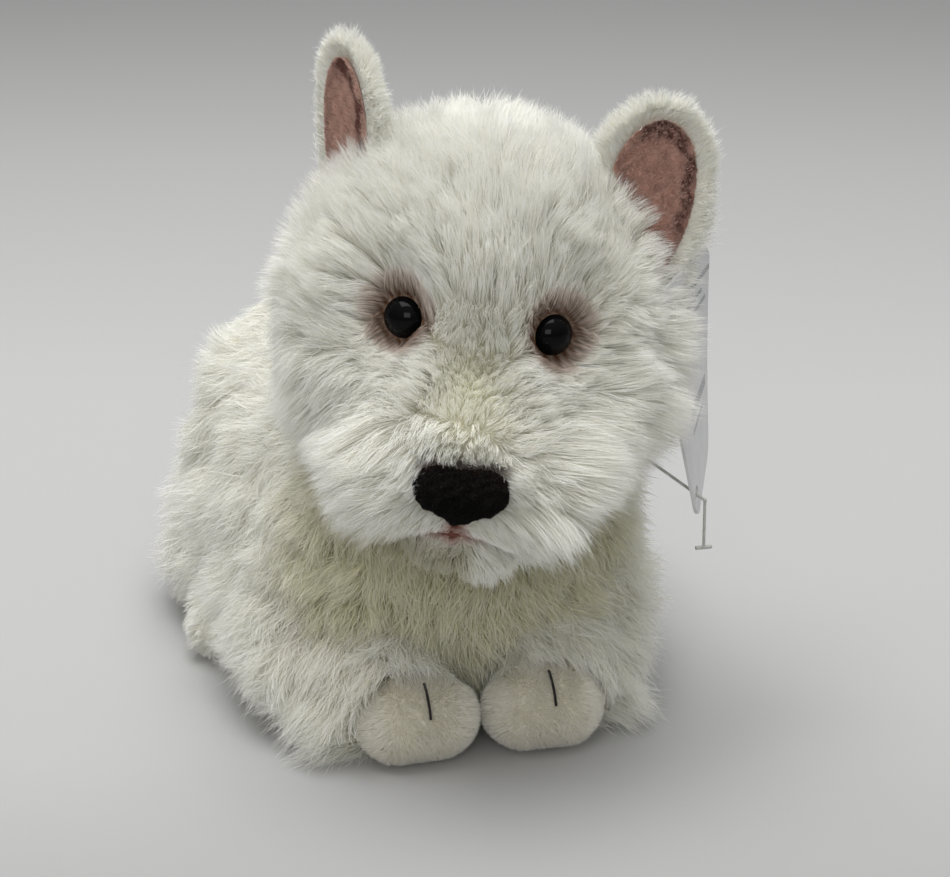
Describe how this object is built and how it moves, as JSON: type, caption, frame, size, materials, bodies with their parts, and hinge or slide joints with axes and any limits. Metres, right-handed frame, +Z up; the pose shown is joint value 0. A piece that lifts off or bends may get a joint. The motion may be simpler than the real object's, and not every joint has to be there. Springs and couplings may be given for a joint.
{
  "type": "plush dog",
  "caption": "Long-pile plush terrier lying down, head turned and ears pricked, with flexing neck, legs, ears and tail and a blank swing tag.",
  "frame": {"origin": "on the resting surface, under the middle of the whole toy", "axes": "+Z up, -Y towards the nose, +X towards the dog's left"},
  "size_m": [0.152, 0.2405, 0.2077],
  "materials": {
    "white_pile": "long faux-fur pile",
    "short_pile": "short sheared faux-fur pile",
    "ear_lining": "short-nap plush, airbrushed edge",
    "eye_gloss": "glossy",
    "nose_flock": "flocked",
    "black_thread": "cotton thread",
    "white_thread": "polyester thread",
    "washer": "moulded",
    "fibre_fill": "loose polyester fibre",
    "pellet_bag": "woven bag of plastic pellets",
    "woven_label": "satin tape",
    "tag_card": "coated card",
    "nylon": "clear nylon"
  },
  "bodies": {
    "torso": {"back_panel_left": "white_pile", "back_panel_right": "white_pile", "belly_panel": "white_pile", "body_stuffing": "fibre_fill", "pellet_bag": "pellet_bag", "closing_seam": "white_thread", "care_label": "woven_label"},
    "neck": {"neck_gusset": "short_pile"},
    "head": {"head_side_panel_left": "white_pile", "head_side_panel_right": "white_pile", "head_gusset": "white_pile", "muzzle_panel": "short_pile", "chin_panel": "white_pile", "head_stuffing": "fibre_fill", "eye_left": "eye_gloss", "eye_right": "eye_gloss", "eye_washer_left": "washer", "eye_washer_right": "washer", "nose": "nose_flock", "nose_washer": "washer", "mouth_stitching": "black_thread", "tag_fastener": "nylon"},
    "ear_left": {"ear_back_left": "short_pile", "ear_lining_left": "ear_lining"},
    "ear_right": {"ear_back_right": "short_pile", "ear_lining_right": "ear_lining"},
    "foreleg_left": {"foreleg_left": "white_pile", "foreleg_stuffing_left": "fibre_fill", "toe_stitches_left": "black_thread"},
    "foreleg_right": {"foreleg_right": "white_pile", "foreleg_stuffing_right": "fibre_fill", "toe_stitches_right": "black_thread"},
    "hindleg_left": {"hindleg_left": "white_pile", "hindleg_stuffing_left": "fibre_fill"},
    "hindleg_right": {"hindleg_right": "white_pile", "hindleg_stuffing_right": "fibre_fill"},
    "tail": {"tail": "white_pile", "tail_stuffing": "fibre_fill"},
    "tag": {"hang_tag": "tag_card"}
  },
  "joints": [
    {"name": "head_turn", "type": "hinge", "parent": "torso", "child": "neck", "pos_m": [-0.0024, -0.0503, 0.131], "axis": [0, 0, 1], "range_deg": [-30, 30], "stiffness_Nm_per_rad": 0.5},
    {"name": "head_nod", "type": "hinge", "parent": "neck", "child": "head", "pos_m": [-0.0024, -0.0503, 0.131], "axis": [0.9587, -0.2569, -0.1219], "range_deg": [-12, 10], "stiffness_Nm_per_rad": 0.9},
    {"name": "ear_left_fold", "type": "hinge", "parent": "head", "child": "ear_left", "pos_m": [0.04397, -0.06273, 0.15029], "axis": [0.3861, 0.0089, -0.9224], "range_deg": [-25, 40], "stiffness_Nm_per_rad": 0.02},
    {"name": "ear_right_fold", "type": "hinge", "parent": "head", "child": "ear_right", "pos_m": [-0.03756, -0.04088, 0.16771], "axis": [0.2039, -0.8834, 0.422], "range_deg": [-25, 40], "stiffness_Nm_per_rad": 0.02},
    {"name": "foreleg_left_lift", "type": "hinge", "parent": "torso", "child": "foreleg_left", "pos_m": [0.0226, -0.0283, 0.031], "axis": [-1, 0, 0], "range_deg": [0, 15]},
    {"name": "foreleg_right_lift", "type": "hinge", "parent": "torso", "child": "foreleg_right", "pos_m": [-0.0394, -0.0283, 0.031], "axis": [-1, 0, 0], "range_deg": [0, 15]},
    {"name": "hindleg_left_spread", "type": "hinge", "parent": "torso", "child": "hindleg_left", "pos_m": [0.0226, 0.0627, 0.031], "axis": [0, 0, 1], "range_deg": [0, 20], "stiffness_Nm_per_rad": 0.1},
    {"name": "hindleg_right_spread", "type": "hinge", "parent": "torso", "child": "hindleg_right", "pos_m": [-0.0394, 0.0627, 0.031], "axis": [0, 0, -1], "range_deg": [0, 20], "stiffness_Nm_per_rad": 0.1},
    {"name": "tail_wag", "type": "hinge", "parent": "torso", "child": "tail", "pos_m": [-0.0064, 0.1017, 0.088], "axis": [0, -1, 0], "range_deg": [-25, 25], "stiffness_Nm_per_rad": 0.05},
    {"name": "tag_swing", "type": "hinge", "parent": "head", "child": "tag", "pos_m": [0.0625, -0.0656, 0.071], "axis": [0.3987, 0.9171, 0], "range_deg": [0, 60]}
  ]
}
